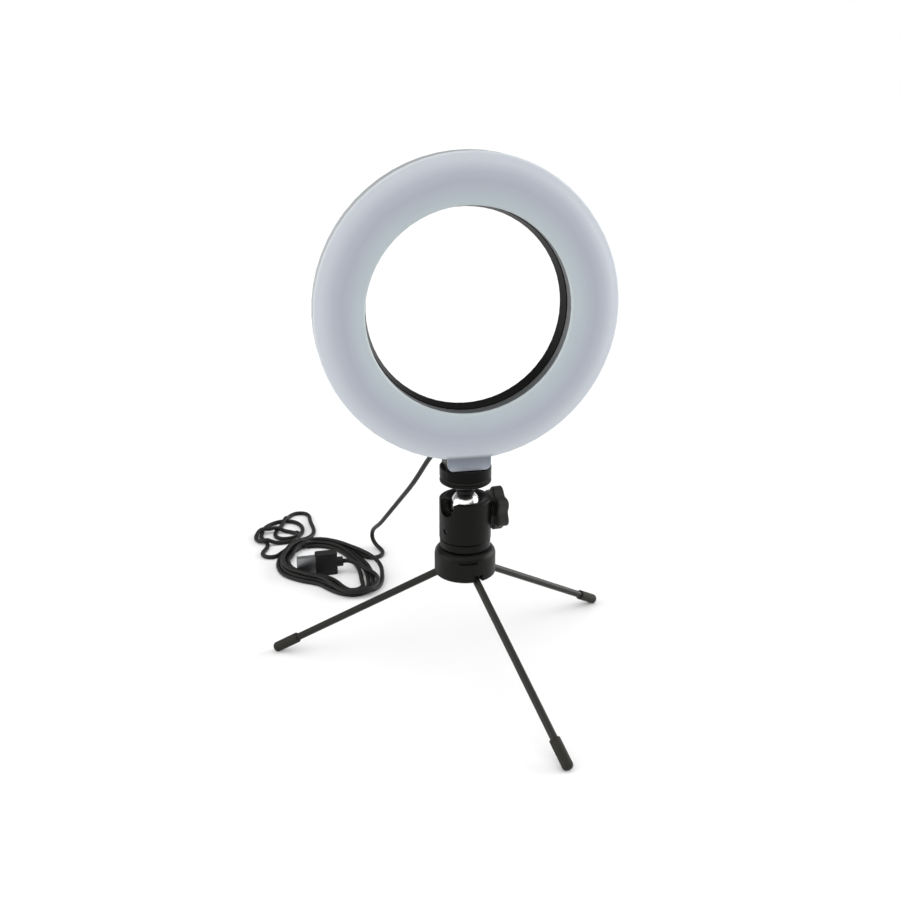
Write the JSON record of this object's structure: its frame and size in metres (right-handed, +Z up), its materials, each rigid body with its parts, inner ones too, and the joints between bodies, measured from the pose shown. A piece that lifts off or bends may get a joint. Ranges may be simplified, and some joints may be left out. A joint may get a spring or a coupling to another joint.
{
  "type": "ring light",
  "caption": "USB ring light on a small ball head and folding table tripod, with its thin cord wound beside it.",
  "frame": {"origin": "on the floor, under the middle of the light and tripod's bounding box, without the cord", "axes": "+Z up; the lamp faces -Y; the cord lies behind it, towards +Y and -X"},
  "size_m": [0.2162, 0.3511, 0.29],
  "materials": {
    "milky_plastic": "milky, satin",
    "black_plastic": "fine-grained satin",
    "board": "white solder mask",
    "steel": "plain",
    "brass": "plain",
    "chrome": "polished",
    "black_aluminium": "black anodised, satin",
    "black_rubber": "matte",
    "nylon": "plain"
  },
  "bodies": {
    "tripod_and_head": {"hub_body": "black_plastic", "hub_plate": "black_plastic", "plate_screw": "steel", "tripod_stud": "steel", "leg_pin_left": "steel", "leg_pin_front": "steel", "leg_pin_right": "steel", "head_base": "black_aluminium", "head_body": "black_aluminium", "ball_seat": "nylon", "grub_screw": "steel", "cord_lead": "black_rubber", "cord_tail": "black_rubber", "cord_hank": "black_rubber", "cord_loops": "black_rubber", "usb_grip": "black_rubber", "usb_shell": "steel"},
    "light": {"diffuser": "milky_plastic", "rear_housing": "black_plastic", "led_board": "board", "housing_screw_1": "steel", "housing_screw_2": "steel", "housing_screw_3": "steel", "housing_screw_4": "steel", "neck_insert": "brass", "strain_relief": "black_rubber", "switch_board": "board", "ball_stud": "chrome", "stem_collar": "black_aluminium", "platform_disc": "black_aluminium", "platform_pad": "black_rubber"},
    "left_leg": {"leg_rod_left": "black_aluminium", "leg_foot_left": "black_rubber"},
    "front_leg": {"leg_rod_front": "black_aluminium", "leg_foot_front": "black_rubber"},
    "right_leg": {"leg_rod_right": "black_aluminium", "leg_foot_right": "black_rubber"},
    "clamp_knob": {"clamp_knob": "black_plastic", "clamp_screw": "steel"},
    "pressure_pad": {"pressure_pad": "nylon"},
    "power_button": {"power_button": "black_rubber"},
    "dimmer_button": {"dimmer_button": "black_rubber"}
  },
  "joints": [
    {"name": "left_leg_fold", "type": "hinge", "parent": "tripod_and_head", "child": "left_leg", "pos_m": [-0.00348, 0.02823, 0.06279], "axis": [-0.309, -0.9511, 0], "range_deg": [0, 60]},
    {"name": "front_leg_fold", "type": "hinge", "parent": "tripod_and_head", "child": "front_leg", "pos_m": [0.0068, 0.01739, 0.06279], "axis": [0.9659, 0.2588, 0], "range_deg": [0, 60]},
    {"name": "right_leg_fold", "type": "hinge", "parent": "tripod_and_head", "child": "right_leg", "pos_m": [0.01196, 0.02985, 0.06279], "axis": [-0.5, 0.866, 0], "range_deg": [0, 60]},
    {"name": "ball_tilt", "type": "hinge", "parent": "tripod_and_head", "child": "light", "pos_m": [0.0046, 0.0256, 0.1001], "axis": [1, 0, 0], "range_deg": [-27, 27], "deforming": ["cord_lead"]},
    {"name": "knob_turn", "type": "hinge", "parent": "tripod_and_head", "child": "clamp_knob", "pos_m": [0.02243, 0.02811, 0.096], "axis": [0.9903, 0.1392, 0], "range_deg": [0, 360]},
    {"name": "pad_slide", "type": "slide", "parent": "tripod_and_head", "child": "pressure_pad", "axis": [0.9903, 0.1392, 0], "range_m": [0, 0.0008]},
    {"name": "power_press", "type": "slide", "parent": "light", "child": "power_button", "axis": [0, -1, 0], "range_m": [0, 0.0005], "stiffness_N_per_m": 1200},
    {"name": "dimmer_press", "type": "slide", "parent": "light", "child": "dimmer_button", "axis": [0, -1, 0], "range_m": [0, 0.0005], "stiffness_N_per_m": 1200}
  ],
  "couplings": [
    {"joint": "pad_slide", "follows": "knob_turn", "m_per_rad": 0.00012732}
  ]
}
